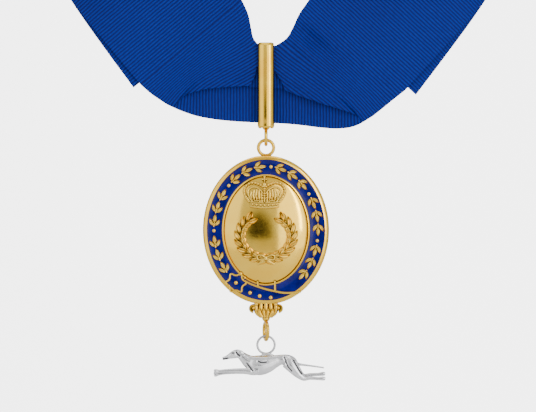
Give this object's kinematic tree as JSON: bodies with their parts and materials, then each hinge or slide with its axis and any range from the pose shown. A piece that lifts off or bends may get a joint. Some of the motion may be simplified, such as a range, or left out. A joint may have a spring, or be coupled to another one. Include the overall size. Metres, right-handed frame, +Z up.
{
  "type": "badge of office on a neck ribbon",
  "caption": "Oval gilt and enamel badge with a silver running greyhound below, hung from a slotted bar on a wide ribbed blue ribbon that goes round the neck.",
  "frame": {"origin": "middle of the ribbon's inner face at the nape of the neck", "axes": "+Z up, -Y is the front that faces away from the wearer, +X to the right as seen from the front"},
  "size_m": [0.1783, 0.1386, 0.2674],
  "materials": {
    "ribbon": "ribbed grosgrain weave, royal blue",
    "gilt": "satin to bright gilding",
    "polished_gilt": "mirror-polished gilding",
    "enamel": "glossy dark blue enamel",
    "silver": "polished silver"
  },
  "bodies": {
    "neckwear": {"neck_ribbon": "ribbon", "ribbon_underlay": "ribbon", "suspension_bar": "gilt"},
    "pendant": {"badge_frame": "gilt", "belt_enamel": "enamel", "buckle_enamel": "enamel", "strap_end_enamel": "enamel", "keeper_enamel": "enamel", "medallion": "polished_gilt", "crown": "gilt", "wreath": "gilt", "greyhound": "silver"}
  },
  "joints": [
    {"name": "badge_swing", "type": "hinge", "parent": "neckwear", "child": "pendant", "pos_m": [-0.00552, -0.12205, -0.16687], "axis": [1, 0, 0], "range_deg": [-60, 60]}
  ]
}
